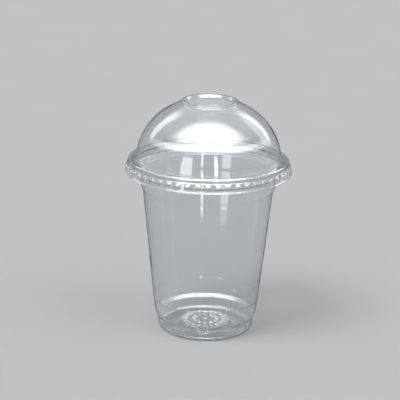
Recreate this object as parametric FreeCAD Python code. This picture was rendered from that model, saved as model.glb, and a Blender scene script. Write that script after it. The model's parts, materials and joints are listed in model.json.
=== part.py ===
import FreeCAD, Part
import math
import os

from FreeCAD import Vector

# Clear cold-drink cup with a domed lid that snaps over its rolled rim.
# Both are thermoformed from thin sheet, so each is one solid with an even wall.
# The frame has its origin in the middle of the foot, on the table, with +Z up the axis.

# Cup, in millimetres. Radii are to the outside of the wall.
cup_height = 110.0
cup_wall = 0.45

# Rolled rim, and the throat below it that takes the plug of the lid.
rim_radius = 49.0
rim_width = 2.8
rim_depth = 3.2
rim_tuck = 1.7
rim_corner = 0.8
throat_depth = 6.8
throat_lean = 0.3

# Shoulder, collar and stacking step, each measured from the one above it.
shoulder_width = 3.85
shoulder_rise = 2.0
collar_length = 8.4
collar_flare = 0.8
stack_step = 1.3
stack_rise = 2.6

# Foot, ledge and heel, each measured from the one below it.
foot_radius = 29.85
foot_corner = 1.3
foot_height = 5.7
ledge_width = 1.7
ledge_rise = 5.5
heel_flare = 1.65
heel_rise = 9.1

# Base, recessed inside the ring that the cup stands on, with a raised panel in its middle.
foot_ring_width = 3.65
foot_ring_rise = 0.9
panel_radius = 15.5
panel_slope = 1.3
panel_rise = 2.5

# Lid, from the lip of its skirt to the land that rests on the rim.
lid_wall = 0.35
seat_gap = 0.05
rim_clearance = 0.12
plug_clearance = 0.3
plug_depth = 1.2
groove_width = 0.5
bead_height = 2.6
bead_swell = 0.15
bead_corner = 0.7
skirt_depth = 8.2
skirt_flare = 1.35
skirt_shoulder = 0.4
lip_width = 0.65
lip_rise = 0.4

# Dome, and the raised ring round the hole in its top.
dome_height = 35.4
neck_radius = 17.7
neck_height = 1.65
neck_corner = 0.4
hole_radius = 13.9
hole_edge_width = 1.8
hole_edge_drop = 1.9

# Hollow lugs pushed out of the skirt, which stiffen it and part stacked lids.
lug_count = 52
lug_width = 3.3
lug_height = 4.2
lug_foot_gap = 0.3
lug_chamfer = 0.7
lug_top_depth = 0.95
lug_foot_depth = 0.35

# Places on the cup that follow from these sizes. Radii are to the inside of the wall.
throat_radius = rim_radius - rim_width - throat_lean
collar_radius = throat_radius - shoulder_width
stack_radius = collar_radius - collar_flare - stack_step
shoulder_height = cup_height - throat_depth
collar_height = shoulder_height - shoulder_rise
stack_height = collar_height - collar_length - stack_rise
foot_inside = foot_radius - cup_wall
ledge_height = foot_height + ledge_rise
base_floor = cup_wall + foot_ring_rise

# Places on the lid that follow from the rim and the throat that it fits.
land_top = cup_height + seat_gap + lid_wall
pinch_radius = rim_radius + rim_clearance + lid_wall
plug_radius = throat_radius - plug_clearance
groove_bottom = land_top - plug_depth
dome_radius = plug_radius - lid_wall - groove_width
dome_foot = groove_bottom + lid_wall
lip_height = land_top - skirt_depth
skirt_foot_radius = pinch_radius + skirt_flare
skirt_foot = lip_height + lip_rise
skirt_top = land_top - bead_height - skirt_shoulder

CENTRE = Vector(0, 0, 0)
AXIS = Vector(0, 0, 1)


def unit(start, end):
    """Direction from one point to another."""
    step = end - start
    return step * (1 / step.Length)


def leftward(direction):
    """Direction at a right angle to the left of another."""
    return Vector(-direction.z, 0, direction.x)


def with_cut_corners(path):
    """Points of a path of (radius, height, cut), where each corner with a cut becomes two points."""
    corners = [Vector(radius, 0, height) for radius, height, cut in path]
    points = [corners[0]]
    for before, corner, after, (radius, height, cut) in zip(corners, corners[1:], corners[2:], path[1:]):
        reach = min(cut, 0.45 * (corner - before).Length, 0.45 * (after - corner).Length)
        if reach > 0:
            points.append(corner + unit(corner, before) * reach)
            points.append(corner + unit(corner, after) * reach)
        else:
            points.append(corner)
    return points + corners[-1:]


def moved_left(points, offset):
    """Points of a line that runs beside another at an even distance, to its left."""
    lefts = [leftward(unit(start, end)) for start, end in zip(points, points[1:])]
    moved = []
    for point, left_before, left_after in zip(points, lefts[:1] + lefts, lefts + lefts[-1:]):
        mitre = left_before + left_after
        moved.append(point + mitre * (offset / mitre.dot(left_before)))
    return moved


def sheet_side(path, offset):
    """Edges of one side of the sheet that follows a path, at an offset to its left."""
    points = moved_left(with_cut_corners(path), offset)
    return [Part.LineSegment(start, end).toShape() for start, end in zip(points, points[1:])]


def sheet_section(first_side, second_side):
    """Closed section of a sheet between its two sides."""
    starts = first_side[0].firstVertex().Point, second_side[0].firstVertex().Point
    ends = first_side[-1].lastVertex().Point, second_side[-1].lastVertex().Point
    caps = [Part.LineSegment(*starts).toShape(), Part.LineSegment(*ends).toShape()]
    edges = Part.sortEdges(first_side + second_side + caps)[0]
    return Part.Face(Part.Wire(edges))


def base_path():
    """Inner side of the base, from the middle of its panel to the corner of the foot."""
    ring = foot_radius - foot_ring_width
    return [
        (0, base_floor + panel_rise, 0),
        (panel_radius, base_floor + panel_rise, 0),
        (panel_radius + panel_slope, base_floor, 0),
        (ring - foot_ring_rise, base_floor, 0),
        (ring, cup_wall, 0),
        (foot_inside, cup_wall, foot_corner),
    ]


def wall_path():
    """Inner side of the wall, from the foot over ledge, heel and stacking step to the throat."""
    return [
        (foot_inside, foot_height, 0),
        (foot_inside + ledge_width, ledge_height, 0),
        (foot_inside + ledge_width + heel_flare, ledge_height + heel_rise, 0),
        (stack_radius, stack_height, 0),
        (stack_radius + stack_step, stack_height + stack_rise, 0),
        (collar_radius, collar_height, 0),
        (throat_radius, shoulder_height, 0),
    ]


def rim_path():
    """Outer side of the rolled rim, over the top, down the outside and back under."""
    return [
        (rim_radius - rim_width, cup_height, rim_corner),
        (rim_radius, cup_height, rim_corner),
        (rim_radius, cup_height - rim_depth, rim_corner),
        (rim_radius - rim_tuck, cup_height - rim_depth, 0),
    ]


def make_cup():
    """Cup, one sheet from the middle of the base to the tucked edge of the rim."""
    path = base_path() + wall_path() + rim_path()
    section = sheet_section(sheet_side(path, 0), sheet_side(path, -cup_wall))
    return section.revolve(CENTRE, AXIS, 360)


def skirt_path():
    """Outer side of the skirt, bead, land and groove, from the lip to the foot of the dome."""
    return [
        (skirt_foot_radius + lip_width, lip_height, 0),
        (skirt_foot_radius, skirt_foot, 0),
        (pinch_radius + skirt_shoulder, skirt_top, 0),
        (pinch_radius, skirt_top + skirt_shoulder, 0),
        (pinch_radius + bead_swell, land_top, bead_corner),
        (plug_radius - lid_wall, land_top, 0),
        (plug_radius - lid_wall, groove_bottom, 0),
        (dome_radius, groove_bottom, 0),
        (dome_radius, dome_foot, 0),
    ]


def dome_side(inset):
    """Side of the dome at an inset, a part of an ellipse from its widest ring up to the neck."""
    rise = dome_height / math.sqrt(1 - (neck_radius / dome_radius) ** 2)
    wide = Vector(dome_radius - inset, 0, dome_foot)
    tall = Vector(0, 0, dome_foot + rise - inset)
    end = math.acos((neck_radius - inset) / (dome_radius - inset))
    return Part.ArcOfEllipse(Part.Ellipse(wide, tall, Vector(0, 0, dome_foot)), 0, end).toShape()


def neck_path(foot):
    """Outer side of the raised ring, from its foot on the dome to the edge of the hole."""
    top = dome_foot + dome_height + neck_height
    return [
        (neck_radius, foot, 0),
        (neck_radius, top, neck_corner),
        (hole_radius + hole_edge_width, top, 0),
        (hole_radius, top - hole_edge_drop, 0),
    ]


def lid_side(inset):
    """Whole side of the lid at an inset, from the lip to the edge of the hole."""
    dome = dome_side(inset)
    neck_foot = dome.lastVertex().Point.z
    return sheet_side(skirt_path(), inset) + [dome] + sheet_side(neck_path(neck_foot), inset)


def skirt_radius(height):
    """Radius of the plain skirt, outside, at a height."""
    lean = (skirt_foot_radius - pinch_radius - skirt_shoulder) / (skirt_top - skirt_foot)
    return skirt_foot_radius - lean * (height - skirt_foot)


def lug_section(inset):
    """Section of a lug with its faces moved in by an inset, and its root inside the skirt."""
    foot = skirt_foot + lug_foot_gap + inset
    top = skirt_foot + lug_foot_gap + lug_height - inset
    root = lid_wall / 2 + 4 * inset
    corners = [
        (skirt_radius(foot) - root, foot),
        (skirt_radius(foot) + lug_foot_depth - inset, foot),
        (skirt_radius(top - lug_chamfer) + lug_top_depth - inset, top - lug_chamfer),
        (skirt_radius(top) - inset, top),
        (skirt_radius(top) - root, top),
    ]
    points = [Vector(radius, 0, height) for radius, height in corners]
    return Part.Face(Part.makePolygon(points + points[:1]))


def lug_ring(inset):
    """Every lug, a section turned through the lug's width and repeated round the skirt."""
    width = math.degrees((lug_width - 2 * inset) / skirt_foot_radius)
    lug = lug_section(inset).revolve(CENTRE, AXIS, width)
    lug.rotate(CENTRE, AXIS, -width / 2)
    ring = []
    for index in range(lug_count):
        copy = lug.copy()
        copy.rotate(CENTRE, AXIS, index * 360 / lug_count)
        ring.append(copy)
    return ring


def make_lid():
    """Lid, one sheet from the lip to the hole, with hollow lugs round the skirt."""
    section = sheet_section(lid_side(0), lid_side(lid_wall))
    shell = section.revolve(CENTRE, AXIS, 360)
    return shell.fuse(lug_ring(0)).cut(lug_ring(lid_wall))


def main():
    """Write one file for each moulded piece."""
    os.makedirs("parts", exist_ok=True)
    for name, shape in (("cup", make_cup()), ("dome_lid", make_lid())):
        print(name, "solids", len(shape.Solids), "valid", shape.isValid(), "mm3", round(shape.Volume, 1))
        shape.Solids[0].exportStep(os.path.join("parts", name + ".step"))


main()
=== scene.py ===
"""Looks for a clear cold-drink cup with a domed lid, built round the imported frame.

Sizes are in millimetres, and they become metres where a mesh is made. The cup and the lid are
each one formed sheet: a path of bent corners, given a wall and turned round the axis. The lugs of
the lid's skirt and the pips of the cup's base are one shape each, repeated by a node tree.
"""

from __future__ import annotations

import json
import logging
import math
from dataclasses import dataclass
from enum import Enum
from typing import ClassVar

import bmesh
import bpy
from bpy.types import Material, Mesh, Node, NodeSocket, Object, World
from mathutils import Matrix, Vector

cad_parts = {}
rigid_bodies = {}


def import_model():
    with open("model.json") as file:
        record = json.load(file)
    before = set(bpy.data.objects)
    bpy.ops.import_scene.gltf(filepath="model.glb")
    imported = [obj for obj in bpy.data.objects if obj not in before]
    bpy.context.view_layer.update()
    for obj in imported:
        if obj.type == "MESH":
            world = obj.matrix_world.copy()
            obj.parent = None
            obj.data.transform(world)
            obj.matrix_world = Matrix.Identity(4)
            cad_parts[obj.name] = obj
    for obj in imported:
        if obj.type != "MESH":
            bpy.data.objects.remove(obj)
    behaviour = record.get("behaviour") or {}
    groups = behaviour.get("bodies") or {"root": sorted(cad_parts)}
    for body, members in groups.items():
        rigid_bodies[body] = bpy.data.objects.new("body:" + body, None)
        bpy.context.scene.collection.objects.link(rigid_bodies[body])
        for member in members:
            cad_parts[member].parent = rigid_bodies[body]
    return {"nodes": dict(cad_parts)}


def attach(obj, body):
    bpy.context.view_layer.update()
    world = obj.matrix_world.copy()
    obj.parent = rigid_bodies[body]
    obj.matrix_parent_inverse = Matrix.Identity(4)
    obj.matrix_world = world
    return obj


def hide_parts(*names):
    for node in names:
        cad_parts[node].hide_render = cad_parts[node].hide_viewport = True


Triple = tuple[float, float, float]
Values = dict[str | int, object]
Row = list[bmesh.types.BMVert]

LOG = logging.getLogger("cup")
MM = 0.001

# In metres: points that count as one, and the middle of the object, which the panels face.
WELD = 2e-7
HEART = Vector((0.0, 0.0, 0.08))

# In millimetres and radians: a bend or a rise too small to make.
LEAST_REACH = 1e-4
LEAST_TURN = 1e-3
LEAST_RISE = 1e-6

# How often light may pass through or bounce off the walls.
WALL_BOUNCES = 24
GLOSS_BOUNCES = 12
CLEAR_BOUNCES = 32


class Body(Enum):
    """The bodies that a piece can ride on."""

    CUP = "cup"
    LID = "lid"


class Slot(Enum):
    """The material slots that a piece can take its finish from."""

    CUP = "cup_plastic"
    LID = "lid_plastic"


class Tree:
    """A node tree in the making, with short ways to add and join its nodes."""

    def __init__(self, tree: bpy.types.NodeTree) -> None:
        """Start on a tree.

        Args:
            tree: The node tree to fill.
        """
        self.tree = tree

    def add(self, kind: str, values: Values | None = None, **settings: object) -> Node:
        """Add a node.

        Args:
            kind: The type name of the node.
            values: Values or sockets for its inputs, by name or number.
            settings: Values for its own properties, by name.

        Returns:
            The new node.
        """
        node = self.tree.nodes.new(kind)
        for name, value in settings.items():
            setattr(node, name, value)
        for key, value in (values or {}).items():
            self._feed(node.inputs[key], value)
        return node

    def _feed(self, target: NodeSocket, value: object) -> None:
        """Join another socket to an input, or give it a plain value."""
        if isinstance(value, NodeSocket):
            self.tree.links.new(value, target)
        else:
            target.default_value = value

    def maths(self, operation: str, first: object, second: object = 0.0) -> NodeSocket:
        """Work out one number from two.

        Args:
            operation: The operation's name.
            first: A socket or a number.
            second: A socket or a number.

        Returns:
            The socket with the result.
        """
        return self.add("ShaderNodeMath", {0: first, 1: second}, operation=operation).outputs[0]

    def blend(self, share: NodeSocket, first: object, second: object) -> NodeSocket:
        """Blend two colours, which go to the inputs 6 and 7 of the node.

        Args:
            share: How much of the second there is.
            first: A socket or a colour.
            second: A socket or a colour.

        Returns:
            The socket with the blend.
        """
        colours = {"Factor": share, 6: first, 7: second}
        return self.add("ShaderNodeMix", colours, data_type="RGBA").outputs[2]

    def mix(self, share: NodeSocket, first: NodeSocket, second: NodeSocket) -> NodeSocket:
        """Mix two shaders.

        Args:
            share: How much of the second there is.
            first: One shader.
            second: The other shader.

        Returns:
            The socket with the mix.
        """
        return self.add("ShaderNodeMixShader", {0: share, 1: first, 2: second}).outputs[0]


def fresh_tree(owner: Material | World) -> Tree:
    """Give a material or a world an empty node tree.

    Args:
        owner: The material or the world.

    Returns:
        The tree, to be filled.
    """
    owner.use_nodes = True
    owner.node_tree.nodes.clear()
    return Tree(owner.node_tree)


def new_object(name: str, data: bpy.types.ID) -> Object:
    """Make an object and put it in the scene.

    Args:
        name: The name of the object.
        data: Its mesh, lamp or camera.

    Returns:
        The object.
    """
    made = bpy.data.objects.new(name, data)
    bpy.context.scene.collection.objects.link(made)
    return made


def new_mesh(name: str, built: bmesh.types.BMesh) -> Mesh:
    """Keep what was built as a mesh, and let go of it.

    Args:
        name: The name of the mesh.
        built: What was built.

    Returns:
        The mesh.
    """
    mesh = bpy.data.meshes.new(name)
    built.to_mesh(mesh)
    built.free()
    return mesh


@dataclass(frozen=True)
class ClearSheet:
    """Clear formed plastic: glossy, with the ripple, draw lines and faint haze of thin sheet."""

    name: str
    tint: Triple = (0.915, 0.927, 0.933)
    clearness: float = 1.0
    index: float = 1.57
    smooth: float = 0.012
    hazy: float = 0.05
    cloud_scale: float = 60.0
    cloud_low: float = 0.45
    cloud_high: float = 0.75
    ripple_scale: float = 95.0
    ripple_depth: float = 0.00006
    draw_scale: float = 420.0
    draw_stretch: float = 0.03
    draw_depth: float = 0.00001
    clear_shadow: Triple = (0.93, 0.935, 0.935)
    edge_shadow: Triple = (0.45, 0.46, 0.46)
    edge_blend: float = 0.35

    def material(self) -> Material:
        """Build the material.

        Returns:
            The finished material.
        """
        material = bpy.data.materials.new(self.name)
        tree = fresh_tree(material)
        place = tree.add("ShaderNodeTexCoord").outputs["Object"]
        sheet = tree.add(
            "ShaderNodeBsdfPrincipled",
            {
                "Base Color": (*self.tint, 1.0),
                "IOR": self.index,
                "Transmission Weight": self.clearness,
                "Roughness": self._haze(tree, place),
                "Normal": self._ripple(tree, place),
            },
        )
        surface = self._let_lamps_through(tree, sheet.outputs["BSDF"])
        tree.add("ShaderNodeOutputMaterial", {"Surface": surface})
        return material

    def _haze(self, tree: Tree, place: NodeSocket) -> NodeSocket:
        """Roughness in faint cloudy patches.

        Args:
            tree: The material's tree.
            place: The position on the piece.

        Returns:
            The socket with the roughness.
        """
        pattern = {"Vector": place, "Scale": self.cloud_scale, "Detail": 4.0, "Roughness": 0.6}
        cloud = tree.add("ShaderNodeTexNoise", pattern)
        spread = tree.add(
            "ShaderNodeMapRange",
            {
                "Value": cloud.outputs["Fac"],
                "From Min": self.cloud_low,
                "From Max": self.cloud_high,
                "To Min": self.smooth,
                "To Max": self.hazy,
            },
        )
        return spread.outputs["Result"]

    def _ripple(self, tree: Tree, place: NodeSocket) -> NodeSocket:
        """Slow ripple of the formed sheet, over fine lines drawn along the wall.

        Args:
            tree: The material's tree.
            place: The position on the piece.

        Returns:
            The socket with the normal.
        """
        stretch = {"Vector": place, "Scale": (1.0, 1.0, self.draw_stretch)}
        along = tree.add("ShaderNodeMapping", stretch).outputs["Vector"]
        ripples = {"Vector": place, "Scale": self.ripple_scale, "Detail": 1.0}
        lines = {"Vector": along, "Scale": self.draw_scale, "Detail": 2.0}
        slow = self._bump(tree, ripples, self.ripple_depth)
        return self._bump(tree, lines, self.draw_depth, {"Normal": slow})

    @staticmethod
    def _bump(tree: Tree, pattern: Values, depth: float, below: Values | None = None) -> NodeSocket:
        """Bump from a noise.

        Args:
            tree: The material's tree.
            pattern: The noise's own inputs.
            depth: How deep the bump is.
            below: The normal that it adds to, if any.

        Returns:
            The socket with the normal.
        """
        noise = tree.add("ShaderNodeTexNoise", pattern).outputs["Fac"]
        values = {"Strength": 1.0, "Distance": depth, "Height": noise, **(below or {})}
        return tree.add("ShaderNodeBump", values).outputs["Normal"]

    def _let_lamps_through(self, tree: Tree, shader: NodeSocket) -> NodeSocket:
        """Give the sheet a light shadow, darker where it is seen edge on.

        Args:
            tree: The material's tree.
            shader: The sheet's own shader.

        Returns:
            The socket with the mixed shader.
        """
        facing = tree.add("ShaderNodeLayerWeight", {"Blend": self.edge_blend}).outputs["Facing"]
        shade = tree.blend(facing, (*self.clear_shadow, 1.0), (*self.edge_shadow, 1.0))
        through = tree.add("ShaderNodeBsdfTransparent", {"Color": shade}).outputs["BSDF"]
        return tree.mix(tree.add("ShaderNodeLightPath").outputs["Is Shadow Ray"], shader, through)


@dataclass(frozen=True)
class PaleFloor:
    """Plain, matt, pale board with a faint mottle, painted dusky where gloss mirrors it: a painted dark
    reflection.
    """

    name: str = "pale_floor"
    light: Triple = (0.56, 0.565, 0.57)
    dark: Triple = (0.545, 0.55, 0.555)
    # Painted dark reflection: the colour that mirrored rays see instead of the pale board.
    mirrored: Triple = (0.06, 0.06, 0.065)
    mottle_scale: float = 14.0
    roughness: float = 0.9
    gloss: float = 0.0

    def material(self) -> Material:
        """Build the material.

        Returns:
            The finished material.
        """
        material = bpy.data.materials.new(self.name)
        tree = fresh_tree(material)
        place = tree.add("ShaderNodeTexCoord").outputs["Object"]
        mottle = tree.add("ShaderNodeTexNoise", {"Vector": place, "Scale": self.mottle_scale, "Detail": 3.0})
        colour = tree.blend(mottle.outputs["Fac"], (*self.light, 1.0), (*self.dark, 1.0))
        path = tree.add("ShaderNodeLightPath").outputs
        # Painted dark reflection: for rays mirrored off the plastic, the board's colour is swapped for near
        # black.
        bounced = tree.maths("SUBTRACT", path["Is Glossy Ray"], path["Is Transmission Ray"])
        shown = tree.blend(tree.maths("MAXIMUM", bounced, 0.0), colour, (*self.mirrored, 1.0))
        board = tree.add(
            "ShaderNodeBsdfPrincipled",
            {"Base Color": shown, "Roughness": self.roughness, "Specular IOR Level": self.gloss},
        )
        tree.add("ShaderNodeOutputMaterial", {"Surface": board.outputs["BSDF"]})
        return material


@dataclass(frozen=True)
class Corner:
    """A corner of a sheet's path, with the radius that the sheet is bent to."""

    radius: float
    height: float
    bend: float = 0.0

    @property
    def point(self) -> Vector:
        """The corner as a point of the section."""
        return Vector((self.radius, self.height))


@dataclass(frozen=True)
class SheetPath:
    """One side of a formed sheet as a path of corners, from which the other side is offset."""

    corners: tuple[Corner, ...]
    turn_step: float = 0.2
    fewest_steps: int = 2
    run_share: float = 0.96
    support: float = 0.3
    long_run: float = 4.0

    def side(self, offset: float = 0.0) -> list[Vector]:
        """Points of the sheet's side at an offset to the left of the path.

        Args:
            offset: The distance to the left, negative to the right.

        Returns:
            The points, with every bend as an arc.
        """
        points = [corner.point for corner in self.corners]
        ways = [(after - before).normalized() for before, after in zip(points, points[1:])]
        reaches = self._reaches(points, ways)
        side = [points[0] + self._left(ways[0]) * offset]
        for index in range(1, len(points) - 1):
            side += self._bend(points[index], ways[index - 1], ways[index], reaches[index], offset)
        side.append(points[-1] + self._left(ways[-1]) * offset)
        return self._supported(side)

    def _reaches(self, points: list[Vector], ways: list[Vector]) -> list[float]:
        """How far each bend reaches along its runs, where two bends share a short run.

        Args:
            points: The corners.
            ways: The direction of each run.

        Returns:
            One reach for each corner.
        """
        wanted = [0.0]
        for before, after, corner in zip(ways, ways[1:], self.corners[1:]):
            wanted.append(corner.bend * math.tan(abs(self._turn(before, after)) / 2))
        wanted.append(0.0)
        reaches = list(wanted)
        for index in range(len(points) - 1):
            run = self.run_share * (points[index + 1] - points[index]).length
            both = wanted[index] + wanted[index + 1]
            if both > run:
                reaches[index] = min(reaches[index], wanted[index] * run / both)
                reaches[index + 1] = min(reaches[index + 1], wanted[index + 1] * run / both)
        return reaches

    def _bend(
        self, corner: Vector, before: Vector, after: Vector, reach: float, offset: float
    ) -> list[Vector]:
        """Points of one bend.

        Args:
            corner: The corner.
            before: The direction that arrives.
            after: The direction that leaves.
            reach: How far the bend reaches along both.
            offset: The distance to the left.

        Returns:
            The points of the arc, or one mitred point where there is no bend.
        """
        turn = self._turn(before, after)
        if reach < LEAST_REACH or abs(turn) < LEAST_TURN:
            mitre = self._left(before) + self._left(after)
            return [corner + mitre * (offset / mitre.dot(self._left(before)))]
        hand = math.copysign(1.0, turn)
        radius = reach / math.tan(abs(turn) / 2)
        start = corner - before * reach
        centre = start + self._left(before) * radius * hand
        spoke = (start - centre) * ((radius - hand * offset) / radius)
        steps = max(self.fewest_steps, math.ceil(abs(turn) / self.turn_step))
        return [centre + Matrix.Rotation(turn * step / steps, 2) @ spoke for step in range(steps + 1)]

    def _supported(self, side: list[Vector]) -> list[Vector]:
        """Add a point near both ends of each long run, so that it stays flat when shaded.

        Args:
            side: The points of a side.

        Returns:
            The points with those added.
        """
        points = [side[0]]
        for start, end in zip(side, side[1:]):
            run = end - start
            if run.length > self.long_run * self.support:
                step = run.normalized() * self.support
                points += [start + step, end - step]
            points.append(end)
        return points

    @staticmethod
    def _left(way: Vector) -> Vector:
        """Direction at a right angle to the left."""
        return Vector((-way.y, way.x))

    @staticmethod
    def _turn(before: Vector, after: Vector) -> float:
        """Angle from one direction to another, positive to the left."""
        return math.atan2(before.cross(after), before.dot(after))


class ShapeTree:
    """A node tree that makes a mesh from an object's own points, with named inputs."""

    def __init__(self, name: str, count: str) -> None:
        """Start the tree with its inputs and its output.

        Args:
            name: The name of the tree.
            count: The name of its whole number, of segments or of copies.
        """
        self.name = name
        self.count = count
        self.group = bpy.data.node_groups.new(name, "GeometryNodeTree")
        self.inputs: dict[str, str] = {}
        kinds = {"Geometry": "Geometry", count: "Int", "Weld": "Float", "Finish": "Material"}
        sockets = self.group.interface
        for label, kind in kinds.items():
            socket = sockets.new_socket(label, in_out="INPUT", socket_type="NodeSocket" + kind)
            self.inputs[label] = socket.identifier
        sockets.new_socket("Geometry", in_out="OUTPUT", socket_type="NodeSocketGeometry")
        self.tree = Tree(self.group)
        self.given = self.tree.add("NodeGroupInput").outputs

    def _finish(self, source: NodeSocket) -> None:
        """End the tree: realize, weld, smooth and dress the mesh.

        Args:
            source: The socket with the mesh or its instances.
        """
        steps: dict[str, Values] = {
            "GeometryNodeRealizeInstances": {},
            "GeometryNodeMergeByDistance": {"Distance": self.given["Weld"]},
            "GeometryNodeSetShadeSmooth": {},
            "GeometryNodeSetMaterial": {"Material": self.given["Finish"]},
        }
        for kind, values in steps.items():
            source = self.tree.add(kind, {"Geometry": source, **values}).outputs[0]
        self.tree.add("NodeGroupOutput", {"Geometry": source})

    def mesh(self, name: str, source: Mesh, count: int, finish: Material) -> Mesh:
        """Run the tree on a mesh and keep what it makes.

        Args:
            name: The name of the new mesh.
            source: The mesh that the tree starts from.
            count: How many segments or copies there are.
            finish: The material.

        Returns:
            The plain mesh that the tree makes.
        """
        carrier = new_object(name + "_source", source)
        modifier = carrier.modifiers.new(self.name, "NODES")
        modifier.node_group = self.group
        for label, value in {self.count: count, "Weld": WELD, "Finish": finish}.items():
            modifier[self.inputs[label]] = value
        bpy.context.view_layer.update()
        made = bpy.data.meshes.new_from_object(carrier.evaluated_get(bpy.context.evaluated_depsgraph_get()))
        carrier.modifiers.remove(modifier)
        bpy.data.objects.remove(carrier)
        made.name = name
        return made


class TurnTree(ShapeTree):
    """Turns a section, given as a row of points, round the axis."""

    def __init__(self) -> None:
        """Build the tree."""
        super().__init__("turned_sheet", "Segments")
        tree, source = self.tree, self.given["Geometry"]
        rows = tree.add("GeometryNodeAttributeDomainSize", {"Geometry": source}).outputs["Point Count"]
        columns = tree.maths("ADD", self.given["Segments"], 1.0)
        sides = {"Size X": 1.0, "Size Y": 1.0, "Vertices X": columns, "Vertices Y": rows}
        grid = tree.add("GeometryNodeMeshGrid", sides).outputs["Mesh"]
        place = tree.add("GeometryNodeInputPosition").outputs[0]
        spread = tree.add("ShaderNodeSeparateXYZ", {0: place}).outputs
        angle = tree.maths("MULTIPLY", tree.maths("ADD", spread["X"], 0.5), 2 * math.pi)
        along = tree.maths("ADD", spread["Y"], 0.5)
        row = tree.maths("ROUND", tree.maths("MULTIPLY", along, tree.maths("SUBTRACT", rows, 1.0)))
        pick = tree.add(
            "GeometryNodeSampleIndex",
            {"Geometry": source, "Value": place, "Index": row},
            data_type="FLOAT_VECTOR",
            domain="POINT",
        )
        point = tree.add("ShaderNodeSeparateXYZ", {0: pick.outputs["Value"]}).outputs
        across = tree.maths("MULTIPLY", point["X"], tree.maths("COSINE", angle))
        ahead = tree.maths("MULTIPLY", point["X"], tree.maths("SINE", angle))
        spot = tree.add("ShaderNodeCombineXYZ", {"X": across, "Y": ahead, "Z": point["Z"]}).outputs[0]
        self._finish(tree.add("GeometryNodeSetPosition", {"Geometry": grid, "Position": spot}).outputs[0])


class RingTree(ShapeTree):
    """Repeats a shape round the axis, evenly."""

    def __init__(self) -> None:
        """Build the tree."""
        super().__init__("ring_of_copies", "Copies")
        tree, copies = self.tree, self.given["Copies"]
        share = tree.maths("DIVIDE", 2 * math.pi, copies)
        turn = tree.maths("MULTIPLY", tree.add("GeometryNodeInputIndex").outputs[0], share)
        euler = tree.add("ShaderNodeCombineXYZ", {"Z": turn}).outputs[0]
        ring = {
            "Points": tree.add("GeometryNodePoints", {"Count": copies}).outputs[0],
            "Instance": self.given["Geometry"],
            "Rotation": tree.add("FunctionNodeEulerToRotation", {0: euler}).outputs[0],
        }
        self._finish(tree.add("GeometryNodeInstanceOnPoints", ring).outputs["Instances"])


class Maker:
    """Makes meshes of sections, and joins and dresses them as pieces."""

    seam_weld: ClassVar[float] = 10 * WELD

    def __init__(self) -> None:
        """Build the node trees that the pieces share."""
        self.turn_tree = TurnTree()
        self.ring_tree = RingTree()

    def turned(self, name: str, section: list[Vector], segments: int, finish: Material) -> Mesh:
        """Turn a section round the axis.

        Args:
            name: The name of the mesh.
            section: The points of the section, in millimetres.
            segments: How many steps the turn has.
            finish: The material.

        Returns:
            The turned mesh.
        """
        row = bpy.data.meshes.new(name + "_section")
        row.from_pydata([(point.x * MM, 0.0, point.y * MM) for point in section], [], [])
        return self.turn_tree.mesh(name, row, segments, finish)

    def piece(
        self, name: str, meshes: list[Mesh], finish: Material, body: Body, replaced: str = ""
    ) -> None:
        """Join meshes into one closed piece, and hang it on its body.

        Args:
            name: The name of the piece.
            meshes: The meshes that make it up.
            finish: The material.
            body: The body that it rides on.
            replaced: The node that it stands for, if any.
        """
        built = bmesh.new()
        for mesh in meshes:
            built.from_mesh(mesh)
        bmesh.ops.remove_doubles(built, verts=built.verts, dist=self.seam_weld)
        bmesh.ops.dissolve_degenerate(built, dist=WELD, edges=built.edges)
        bmesh.ops.recalc_face_normals(built, faces=built.faces)
        open_edges = sum(1 for edge in built.edges if not edge.is_manifold)
        mesh = new_mesh(name, built)
        mesh.materials.append(finish)
        mesh.shade_smooth()
        obj = new_object(name, mesh)
        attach(obj, body.value)
        if replaced:
            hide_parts(replaced)
        triangles = sum(len(face.vertices) - 2 for face in mesh.polygons)
        LOG.info("%s: %d triangles, %d open edges", name, triangles, open_edges)


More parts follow.
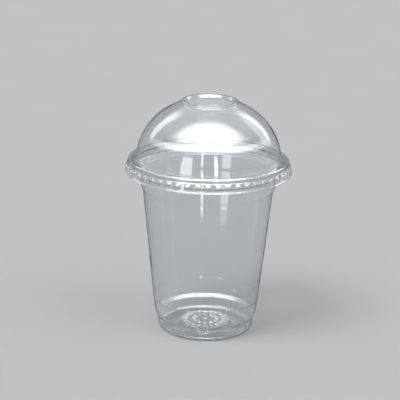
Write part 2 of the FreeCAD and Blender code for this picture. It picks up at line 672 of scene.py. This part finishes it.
@dataclass(frozen=True)
class Cup:
    """The cup: one sheet from the middle of its base to the tucked edge of its rolled rim."""

    height: float = 110.0
    wall: float = 0.45
    rim_radius: float = 49.0
    rim_width: float = 2.8
    rim_depth: float = 3.2
    rim_tuck: float = 1.7
    rim_bend: float = 1.35
    throat_depth: float = 6.8
    throat_lean: float = 0.3
    throat_bend: float = 1.1
    shoulder_width: float = 3.85
    shoulder_rise: float = 2.0
    collar_length: float = 8.4
    collar_flare: float = 0.8
    stack_step: float = 1.3
    stack_rise: float = 2.6
    stack_bend: float = 5.0
    foot_radius: float = 29.85
    foot_bend: float = 2.6
    foot_height: float = 7.2
    ledge_width: float = 1.7
    ledge_rise: float = 2.7
    ledge_bend: float = 1.0
    heel_flare: float = 1.65
    heel_rise: float = 10.4
    heel_ring_width: float = 1.1
    heel_ring_depth: float = 0.16
    heel_ring_inset: float = 0.09
    heel_ring_outset: float = 0.03
    heel_ring_bend: float = 0.5
    ring_width: float = 3.65
    ring_rise: float = 0.9
    panel_radius: float = 15.5
    panel_slope: float = 1.3
    panel_rise: float = 2.5
    floor_bend: float = 0.9
    segments: int = 208

    @property
    def throat_radius(self) -> float:
        """Inner radius of the throat at its foot."""
        return self.rim_radius - self.rim_width - self.throat_lean

    @property
    def panel_top(self) -> float:
        """Height of the inside of the panel."""
        return self.wall + self.ring_rise + self.panel_rise

    def base(self) -> list[Corner]:
        """Inner side of the base, from the middle outwards."""
        floor = self.wall + self.ring_rise
        ring = self.foot_radius - self.ring_width
        return [
            Corner(0.0, self.panel_top),
            Corner(self.panel_radius, self.panel_top, self.floor_bend),
            Corner(self.panel_radius + self.panel_slope, floor, self.floor_bend),
            Corner(ring - self.ring_rise, floor, self.floor_bend),
            Corner(ring, self.wall, self.floor_bend),
            Corner(self.foot_radius - self.wall, self.wall, self.foot_bend),
        ]

    def side_wall(self) -> list[Corner]:
        """Inner side of the wall, from the foot to the throat."""
        foot = self.foot_radius - self.wall
        ledge = self.foot_height + self.ledge_rise
        shoulder = self.height - self.throat_depth
        collar = shoulder - self.shoulder_rise
        collar_radius = self.throat_radius - self.shoulder_width
        stack_radius = collar_radius - self.collar_flare - self.stack_step
        stack = collar - self.collar_length - self.stack_rise
        return [
            Corner(foot, self.foot_height, self.ledge_bend),
            Corner(foot + self.ledge_width, ledge, self.ledge_bend),
            *self._heel_ring(foot + self.ledge_width + self.heel_flare, ledge + self.heel_rise),
            Corner(stack_radius, stack, self.stack_bend),
            Corner(stack_radius + self.stack_step, stack + self.stack_rise, self.stack_bend),
            Corner(collar_radius, collar, self.throat_bend),
            Corner(self.throat_radius, shoulder, self.throat_bend),
        ]

    def _heel_ring(self, radius: float, height: float) -> list[Corner]:
        """Inner side of the fine ring at the top of the heel.

        Args:
            radius: The radius of the wall there.
            height: The height of the ring's middle.

        Returns:
            Its corners, from the bottom up.
        """
        half = self.heel_ring_width / 2
        return [
            Corner(radius - self.heel_ring_inset, height - half, self.heel_ring_bend),
            Corner(radius + self.heel_ring_depth, height, self.heel_ring_bend),
            Corner(radius + self.heel_ring_outset, height + half, self.heel_ring_bend),
        ]

    def rim(self) -> list[Corner]:
        """Outer side of the roll, over the top and back under."""
        foot = self.height - self.rim_depth
        return [
            Corner(self.rim_radius - self.rim_width, self.height, self.rim_bend),
            Corner(self.rim_radius, self.height, self.rim_bend),
            Corner(self.rim_radius, foot, self.rim_bend),
            Corner(self.rim_radius - self.rim_tuck, foot),
        ]

    def build(self, maker: Maker, finish: Material) -> None:
        """Make the cup.

        Args:
            maker: The maker of meshes.
            finish: The clear sheet.
        """
        path = SheetPath(tuple(self.base() + self.side_wall() + self.rim()))
        section = path.side() + path.side(-self.wall)[::-1]
        mesh = maker.turned("cup_shell", section, self.segments, finish)
        maker.piece("cup_shell", [mesh], finish, Body.CUP, "cup")


@dataclass(frozen=True)
class BasePips:
    """Rings of plain low pips, formed on the raised panel of the cup's base."""

    panel_top: float
    rings: tuple[tuple[int, float], ...] = ((20, 12.4), (12, 7.4), (1, 0.0))
    radius: float = 1.25
    height: float = 0.55
    slope: float = 0.45
    edge: float = 0.1
    lift: float = 0.01
    segments: int = 20

    def build(self, maker: Maker, finish: Material) -> None:
        """Make the pips.

        Args:
            maker: The maker of meshes.
            finish: The clear sheet.
        """
        meshes = []
        for copies, distance in self.rings:
            built = bmesh.new()
            centre = Vector((distance, 0.0, self.panel_top + self.lift + self.height / 2)) * MM
            bmesh.ops.create_cone(
                built,
                cap_ends=True,
                segments=self.segments,
                radius1=self.radius * MM,
                radius2=(self.radius - self.slope) * MM,
                depth=self.height * MM,
                matrix=Matrix.Translation(centre),
            )
            rim = [edge for edge in built.edges if abs(edge.verts[0].co.z - edge.verts[1].co.z) < WELD]
            top = [edge for edge in rim if edge.verts[0].co.z > centre.z]
            bmesh.ops.bevel(built, geom=top, offset=self.edge * MM, segments=2, affect="EDGES", profile=0.5)
            meshes.append(maker.ring_tree.mesh("pips", new_mesh("pip", built), copies, finish))
        maker.piece("base_pips", meshes, finish, Body.CUP)


@dataclass(frozen=True)
class Lugs:
    """Hollow lugs pushed out of the lid's skirt."""

    count: int = 52
    width: float = 3.3
    height: float = 4.2
    foot_gap: float = 0.3
    foot_rise: float = 0.35
    chamfer: float = 1.4
    top_depth: float = 0.95
    foot_depth: float = 0.35
    side: float = 0.4
    foot_shares: tuple[float, ...] = (0.0, 0.3, 0.7, 1.0)
    middle_shares: tuple[float, ...] = (0.3, 0.55)
    top_shares: tuple[float, ...] = (1.0, 0.8, 0.6, 0.4, 0.2, 0.0)
    side_shares: tuple[float, ...] = (1.0, 0.7, 0.4, 0.15, 0.0)
    face_columns: tuple[float, ...] = (0.0, 0.6)
    lip_steps: int = 4

    def push(self, across: float, above: float) -> float:
        """How far the sheet is pushed out.

        Args:
            across: The distance from the middle of the lug, along the skirt.
            above: The height above the foot of the skirt.

        Returns:
            The push, in millimetres.
        """
        rise = above - self.foot_gap
        if not 0.0 < rise < self.height:
            return 0.0
        lean = min(1.0, rise / (self.height - self.chamfer))
        depth = self.foot_depth + (self.top_depth - self.foot_depth) * lean
        ends = self._ease(rise / self.foot_rise) * self._ease((self.height - rise) / self.chamfer)
        return depth * ends * self._ease((self.width / 2 - abs(across)) / self.side)

    def levels(self) -> list[float]:
        """Heights above the skirt's foot where the sheet changes."""
        foot = [share * self.foot_rise for share in self.foot_shares]
        middle = [share * self.height for share in self.middle_shares]
        top = [self.height - share * self.chamfer for share in self.top_shares]
        return [self.foot_gap + level for level in foot + middle + top]

    def columns(self, pitch: float) -> list[float]:
        """Distances across one lug and the gaps beside it where the sheet changes.

        Args:
            pitch: The distance from one lug to the next.

        Returns:
            The distances, from one gap to the other.
        """
        sides = [self.width / 2 - share * self.side for share in self.side_shares]
        half = [*self.face_columns, *sides, (self.width / 2 + pitch / 2) / 2, pitch / 2]
        return [-across for across in half[:0:-1]] + half

    @staticmethod
    def _ease(share: float) -> float:
        """Smooth step from 0 to 1."""
        share = min(1.0, max(0.0, share))
        return share * share * (3 - 2 * share)


@dataclass(frozen=True)
class DomeLid:
    """The lid: one sheet from the lip of its skirt to the open hole in the top of the dome."""

    cup: Cup
    lugs: Lugs = Lugs()
    wall: float = 0.35
    seat_gap: float = 0.05
    rim_clearance: float = 0.12
    plug_clearance: float = 0.3
    plug_depth: float = 1.2
    groove_width: float = 0.5
    groove_bend: float = 0.24
    bead_height: float = 2.6
    bead_swell: float = 0.15
    bead_bend: float = 1.2
    land_bend: float = 0.6
    skirt_depth: float = 8.2
    skirt_flare: float = 1.35
    skirt_shoulder: float = 0.4
    skirt_bend: float = 0.5
    lip_width: float = 0.65
    lip_rise: float = 0.4
    lip_bend: float = 0.8
    seam_rise: float = 0.45
    dome_height: float = 35.4
    dome_steps: int = 32
    neck_radius: float = 17.7
    neck_height: float = 1.65
    neck_bend: float = 0.7
    hole_radius: float = 13.9
    edge_width: float = 1.8
    edge_drop: float = 1.9

    @property
    def land_top(self) -> float:
        """Height of the top of the land."""
        return self.cup.height + self.seat_gap + self.wall

    @property
    def pinch_radius(self) -> float:
        """Outer radius of the skirt under the bead."""
        return self.cup.rim_radius + self.rim_clearance + self.wall

    @property
    def groove_bottom(self) -> float:
        """Height of the bottom of the groove round the dome."""
        return self.land_top - self.plug_depth

    @property
    def dome_foot(self) -> float:
        """Height of the foot of the dome."""
        return self.groove_bottom + self.wall

    @property
    def plug_radius(self) -> float:
        """Outer radius of the groove, on its upper side."""
        return self.cup.throat_radius - self.plug_clearance - self.wall

    @property
    def dome_radius(self) -> float:
        """Outer radius of the dome at its foot."""
        return self.plug_radius - self.groove_width

    @property
    def skirt_foot(self) -> Corner:
        """Corner between the lip and the skirt."""
        radius = self.pinch_radius + self.skirt_flare
        return Corner(radius, self.land_top - self.skirt_depth + self.lip_rise, self.lip_bend)

    @property
    def seam(self) -> Corner:
        """Place just under the bead where the ring of lugs meets the rest of the sheet."""
        rise = self.bead_height
        share = self.seam_rise / rise
        return Corner(self.pinch_radius + self.bead_swell * share, self.land_top - rise + self.seam_rise)

    def skirt(self) -> SheetPath:
        """Outer side of the skirt, from the lip to the seam."""
        foot = self.skirt_foot
        top = self.land_top - self.bead_height - self.skirt_shoulder
        return SheetPath(
            (
                Corner(foot.radius + self.lip_width, foot.height - self.lip_rise),
                foot,
                Corner(self.pinch_radius + self.skirt_shoulder, top, self.skirt_bend),
                Corner(self.pinch_radius, top + self.skirt_shoulder, self.skirt_bend),
                self.seam,
            ),
            support=0.1,
        )

    def dome(self) -> list[Corner]:
        """Points of the dome's ellipse, from its foot to the neck."""
        end = math.acos(self.neck_radius / self.dome_radius)
        rise = self.dome_height / math.sin(end)
        corners = []
        for step in range(self.dome_steps + 1):
            angle = end * step / self.dome_steps
            radius = self.dome_radius * math.cos(angle)
            corners.append(Corner(radius, self.dome_foot + rise * math.sin(angle)))
        return corners

    def top(self) -> SheetPath:
        """Outer side of the rest of the sheet, from the seam to the edge of the hole."""
        crown = self.dome_foot + self.dome_height + self.neck_height
        dome = self.dome()
        last = dome[-1]
        return SheetPath(
            (
                self.seam,
                Corner(self.pinch_radius + self.bead_swell, self.land_top, self.bead_bend),
                Corner(self.plug_radius, self.land_top, self.land_bend),
                Corner(self.plug_radius, self.groove_bottom, self.groove_bend),
                Corner(self.dome_radius, self.groove_bottom, self.groove_bend),
                *dome[:-1],
                Corner(last.radius, last.height, self.neck_bend),
                Corner(self.neck_radius, crown, self.neck_bend),
                Corner(self.hole_radius + self.edge_width, crown, self.neck_bend),
                Corner(self.hole_radius, crown - self.edge_drop),
            ),
            support=0.5,
        )

    def _rows(self, side: list[Vector]) -> list[Vector]:
        """Add the lugs' levels to the points of one side of the skirt.

        Args:
            side: The points, from the lip up.

        Returns:
            The points with the levels among them.
        """
        levels = [self.skirt_foot.height + level for level in self.lugs.levels()]
        rows = [side[0]]
        for start, end in zip(side, side[1:]):
            for level in levels:
                if start.y + LEAST_RISE < level < end.y - LEAST_RISE:
                    rows.append(start.lerp(end, (level - start.y) / (end.y - start.y)))
            rows.append(end)
        return rows

    def lug_cell(self) -> Mesh:
        """Make one lug with half of the gap on both sides, as both faces of the sheet.

        Returns:
            The mesh of the cell, open at its sides and at the seam.
        """
        path = self.skirt()
        rows = self._rows(path.side())[::-1] + self._rows(path.side(self.wall))
        reach = 2 * math.pi / self.lugs.count
        pitch = reach * self.skirt_foot.radius
        fine = self.lugs.columns(pitch)
        steps = self.lugs.lip_steps
        coarse = [pitch * (step / steps - 0.5) for step in range(steps + 1)]
        built = bmesh.new()
        made: list[Row] = []
        for index, row in enumerate(rows):
            columns = coarse if index in (0, len(rows) - 1) else fine
            made.append([built.verts.new(self._spot(row, across, reach / pitch)) for across in columns])
        for lower, upper in zip(made, made[1:]):
            self._bridge(built, lower, upper)
        return new_mesh("lug_cell", built)

    def _spot(self, row: Vector, across: float, share: float) -> Vector:
        """Place of one point of the lug cell.

        Args:
            row: The radius and height of the plain skirt.
            across: The distance from the middle of the lug.
            share: The angle for each millimetre across.

        Returns:
            The place, in metres.
        """
        radius = row.x + self.lugs.push(across, row.y - self.skirt_foot.height)
        angle = across * share
        return Vector((radius * math.cos(angle), radius * math.sin(angle), row.y)) * MM

    @staticmethod
    def _bridge(built: bmesh.types.BMesh, lower: Row, upper: Row) -> None:
        """Fill the strip between two rows, which may have different numbers of points.

        Args:
            built: The mesh in the making.
            lower: One row.
            upper: The next row.
        """
        if len(lower) == len(upper):
            for quad in zip(lower, lower[1:], upper[1:], upper):
                built.faces.new(quad)
            return
        first, second = 0, 0
        while first < len(lower) - 1 or second < len(upper) - 1:
            next_first = (first + 1) / (len(lower) - 1) if first < len(lower) - 1 else 2.0
            next_second = (second + 1) / (len(upper) - 1) if second < len(upper) - 1 else 2.0
            if next_first <= next_second:
                built.faces.new((lower[first], lower[first + 1], upper[second]))
                first += 1
            else:
                built.faces.new((lower[first], upper[second + 1], upper[second]))
                second += 1

    def build(self, maker: Maker, finish: Material) -> None:
        """Make the lid.

        Args:
            maker: The maker of meshes.
            finish: The clear sheet.
        """
        path = self.top()
        section = path.side() + path.side(self.wall)[::-1]
        top = maker.turned("lid_top", section, self.lugs.lip_steps * self.lugs.count, finish)
        skirt = maker.ring_tree.mesh("lid_skirt", self.lug_cell(), self.lugs.count, finish)
        maker.piece("lid_shell", [top, skirt], finish, Body.LID, "dome_lid")


@dataclass(frozen=True)
class Panel:
    """A lit panel that only gloss and clear plastic see, even in its middle and soft at its rim."""

    name: str
    glow: float
    hold: float
    squareness: float
    colour: ClassVar[Triple] = (0.955, 0.98, 1.0)

    def columns(self) -> list[tuple[Vector, Vector]]:
        """Lower and upper end of each column of the panel, from one side to the other."""
        raise NotImplementedError

    def build(self) -> None:
        """Make the panel."""
        columns = self.columns()
        mesh = bpy.data.meshes.new(self.name)
        points = [point for column in columns for point in column]
        steps = range(len(columns) - 1)
        mesh.from_pydata(points, [], [(2 * n, 2 * n + 2, 2 * n + 3, 2 * n + 1) for n in steps])
        spread = mesh.uv_layers.new(name="spread")
        for loop in mesh.loops:
            column, end = divmod(loop.vertex_index, 2)
            spread.data[loop.index].uv = (2 * column / (len(columns) - 1) - 1, 2 * end - 1)
        mesh.materials.append(self._light())
        panel = new_object(self.name, mesh)
        panel.visible_camera = False
        panel.visible_diffuse = False
        panel.visible_shadow = False

    def _light(self) -> Material:
        """Emission, seen in gloss alone, that is even in the middle and fades out towards the rim.

        Returns:
            The material.
        """
        material = bpy.data.materials.new(self.name)
        tree = fresh_tree(material)
        material.cycles.emission_sampling = "NONE"
        flat = tree.add("ShaderNodeUVMap", uv_map="spread").outputs["UV"]
        place = tree.add("ShaderNodeSeparateXYZ", {0: flat}).outputs
        parts = [tree.maths("POWER", tree.maths("ABSOLUTE", place[axis]), self.squareness) for axis in "XY"]
        away = tree.maths("POWER", tree.maths("ADD", *parts), 1 / self.squareness)
        fall = tree.add(
            "ShaderNodeMapRange",
            {"Value": away, "From Min": self.hold, "From Max": 1.0, "To Min": self.glow, "To Max": 0.0},
            interpolation_type="SMOOTHSTEP",
        )
        bounced = tree.maths("MINIMUM", tree.add("ShaderNodeLightPath").outputs["Glossy Depth"], 1.0)
        strength = tree.maths("MULTIPLY", fall.outputs["Result"], bounced)
        glow = tree.add("ShaderNodeEmission", {"Color": (*self.colour, 1.0), "Strength": strength})
        clear = tree.add("ShaderNodeBsdfTransparent")
        both = tree.add("ShaderNodeAddShader", {0: glow.outputs[0], 1: clear.outputs[0]})
        tree.add("ShaderNodeOutputMaterial", {"Surface": both.outputs[0]})
        return material


@dataclass(frozen=True)
class FlatPanel(Panel):
    """A flat panel along a straight line, turned to face the object."""

    start: Triple
    end: Triple
    width: float

    def columns(self) -> list[tuple[Vector, Vector]]:
        """Both ends of the panel."""
        start, end = Vector(self.start), Vector(self.end)
        middle = (start + end) / 2
        across = (end - start).cross(HEART - middle).normalized() * self.width / 2
        return [(start - across, start + across), (end - across, end + across)]


@dataclass(frozen=True)
class CurvedPanel(Panel):
    """A curved panel that stands in front of the object, part of a wide ring round it."""

    radius: float
    reach: float
    middle_rise: float
    end_rise: float
    half_height: float
    droop: float = 1.7
    steps: int = 64

    def columns(self) -> list[tuple[Vector, Vector]]:
        """Columns round the ring, from left to right."""
        columns = []
        for step in range(self.steps + 1):
            share = 2 * step / self.steps - 1
            angle = math.radians(self.reach) * share
            rise = self.middle_rise - (self.middle_rise - self.end_rise) * abs(share) ** self.droop
            rises = (rise - self.half_height, rise + self.half_height)
            columns.append((self._point(angle, rises[0]), self._point(angle, rises[1])))
        return columns

    def _point(self, angle: float, rise: float) -> Vector:
        """Point of the ring at an angle round the object and a rise in degrees above the floor."""
        height = math.tan(math.radians(rise))
        return Vector((math.sin(angle), -math.cos(angle), height)) * self.radius


@dataclass(frozen=True)
class Lamp:
    """A far, soft lamp that lights the floor evenly and gives the object its shadow."""

    name: str
    place: Triple
    spread: float
    power: float

    def build(self) -> None:
        """Make the lamp."""
        data = bpy.data.lights.new(self.name, "SUN")
        data.angle = self.spread
        data.energy = self.power
        lamp = new_object(self.name, data)
        lamp.location = self.place
        lamp.rotation_mode = "QUATERNION"
        lamp.rotation_quaternion = (-Vector(self.place)).to_track_quat("-Z", "Y")
        lamp.visible_glossy = False
        lamp.visible_transmission = False


@dataclass(frozen=True)
class Studio:
    """Pale floor, soft light and the surroundings that the plastic mirrors."""

    floor: PaleFloor = PaleFloor()
    floor_half: float = 8.0
    lamps: tuple[Lamp, ...] = (
        Lamp("lamp_key", (-1.1, -0.9, 2.2), 0.5, 1.5),
        Lamp("lamp_fill", (1.6, -0.8, 1.8), 0.7, 0.5),
    )
    panels: tuple[Panel, ...] = (
        FlatPanel("panel_main", 11.0, 0.0, 2.0, (-1.3, -0.36, 1.0), (1.3, -0.36, 1.0), 1.4),
        FlatPanel("panel_wings", 1.7, 0.2, 3.0, (-2.6, -0.2, 1.1), (2.6, -0.2, 1.1), 0.7),
        FlatPanel("panel_ceiling", 0.9, 0.5, 3.0, (-2.0, 0.3, 1.3), (2.0, 0.3, 1.3), 3.0),
        FlatPanel("panel_left", 2.4, 0.5, 4.0, (-1.19, 0.69, 0.38), (-0.42, 0.70, 1.06), 0.42),
        FlatPanel("panel_right", 2.2, 0.4, 4.0, (1.15, 0.80, 0.33), (0.36, 0.77, 1.12), 0.22),
        FlatPanel("panel_right_wide", 1.5, 0.6, 4.0, (1.35, 0.60, 0.33), (0.5, 0.9, 1.12), 0.8),
        CurvedPanel("panel_front", 10.0, 0.3, 3.0, 1.4, 128.0, 46.0, 14.0, 8.0),
        FlatPanel("strip_middle", 7.0, 0.8, 6.0, (0.09, -0.45, -0.01), (0.09, -0.45, 0.38), 0.045),
        FlatPanel("strip_left", 4.0, 0.75, 6.0, (-0.24, -0.37, -0.01), (-0.24, -0.37, 0.33), 0.15),
    )
    backdrop: Triple = (0.532, 0.54, 0.549)
    ambient: Triple = (0.45, 0.455, 0.46)
    dusk: Triple = (0.05, 0.05, 0.055)
    pale_below: float = 0.25
    dusky_above: float = 0.7

    def build(self) -> None:
        """Make the floor, lamps, panels and world."""
        mesh = bpy.data.meshes.new("floor")
        half = self.floor_half
        corners = [(-half, -half, 0.0), (half, -half, 0.0), (half, half, 0.0), (-half, half, 0.0)]
        mesh.from_pydata(corners, [], [(0, 1, 2, 3)])
        mesh.materials.append(self.floor.material())
        floor = new_object("floor", mesh)
        for lamp in self.lamps:
            lamp.build()
        for panel in self.panels:
            panel.build()
        self._world()

    def _world(self) -> None:
        """Make the world, pale near the horizon to the eye and dusky above and in what is mirrored."""
        world = bpy.data.worlds.new("studio")
        bpy.context.scene.world = world
        world.cycles.sampling_method = "NONE"
        tree = fresh_tree(world)
        path = tree.add("ShaderNodeLightPath").outputs
        colours = (self.backdrop, self.ambient, self.dusk)
        shades = [tree.add("ShaderNodeBackground", {"Color": (*colour, 1.0)}) for colour in colours]
        pale, soft, dusk = (shade.outputs[0] for shade in shades)
        way = tree.add("ShaderNodeSeparateXYZ", {0: tree.add("ShaderNodeTexCoord").outputs["Generated"]})
        rise = tree.add(
            "ShaderNodeMapRange",
            {"Value": way.outputs["Z"], "From Min": self.pale_below, "From Max": self.dusky_above},
            interpolation_type="SMOOTHSTEP",
        )
        through = tree.mix(rise.outputs["Result"], pale, dusk)
        lit = tree.mix(path["Is Glossy Ray"], soft, dusk)
        clear = tree.mix(path["Is Transmission Ray"], lit, through)
        scattered = tree.mix(tree.maths("MINIMUM", path["Diffuse Depth"], 1.0), clear, soft)
        shown = tree.mix(path["Is Camera Ray"], scattered, pale)
        tree.add("ShaderNodeOutputWorld", {"Surface": shown})


@dataclass(frozen=True)
class Eye:
    """The camera, where the picture was taken from."""

    place: Triple = (0.0, -0.866346, 0.347692)
    yaw: float = -0.31858
    pitch: float = -17.00421
    roll: float = 1.175
    lens: float = 131.04
    sensor: float = 36.0
    far: float = 50.0

    def build(self) -> None:
        """Make the camera and use it."""
        data = bpy.data.cameras.new("eye")
        data.lens = self.lens
        data.sensor_width = self.sensor
        data.clip_end = self.far
        camera = new_object("eye", data)
        camera.matrix_world = Matrix.Translation(self.place) @ self._turn()
        bpy.context.scene.camera = camera

    def _turn(self) -> Matrix:
        """Turn of the camera: its roll, then its pitch up from straight down, then its yaw."""
        yaw, pitch, roll = (math.radians(angle) for angle in (self.yaw, self.pitch, self.roll))
        upright = Matrix.Rotation(math.pi / 2 + pitch, 4, "X")
        return Matrix.Rotation(-yaw, 4, "Z") @ upright @ Matrix.Rotation(roll, 4, "Z")


def prepare() -> None:
    """Empty the scene, and let light through as many walls as the cup and lid have."""
    for obj in list(bpy.data.objects):
        bpy.data.objects.remove(obj)
    scene = bpy.context.scene
    scene.view_settings.view_transform = "Standard"
    scene.cycles.max_bounces = WALL_BOUNCES
    scene.cycles.transmission_bounces = WALL_BOUNCES
    scene.cycles.glossy_bounces = GLOSS_BOUNCES
    scene.cycles.transparent_max_bounces = CLEAR_BOUNCES
    scene.cycles.caustics_reflective = False
    scene.cycles.caustics_refractive = True


def main() -> None:
    """Build every piece in order and note the sizes."""
    logging.basicConfig(level=logging.INFO, format="%(name)s: %(message)s")
    prepare()
    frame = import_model()
    LOG.info("nodes in the frame: %s", ", ".join(sorted(frame["nodes"])))
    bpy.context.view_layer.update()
    maker = Maker()
    cup = Cup()
    cup_sheet = ClearSheet("cup_clear_sheet").material()
    lid_sheet = ClearSheet("lid_clear_sheet", ripple_depth=0.00008).material()
    pip_sheet = ClearSheet("pip_sheet", smooth=0.03, hazy=0.08).material()
    cup.build(maker, cup_sheet)
    BasePips(cup.panel_top).build(maker, pip_sheet)
    DomeLid(cup).build(maker, lid_sheet)
    Studio().build()
    Eye().build()


if __name__ == "__main__":
    main()
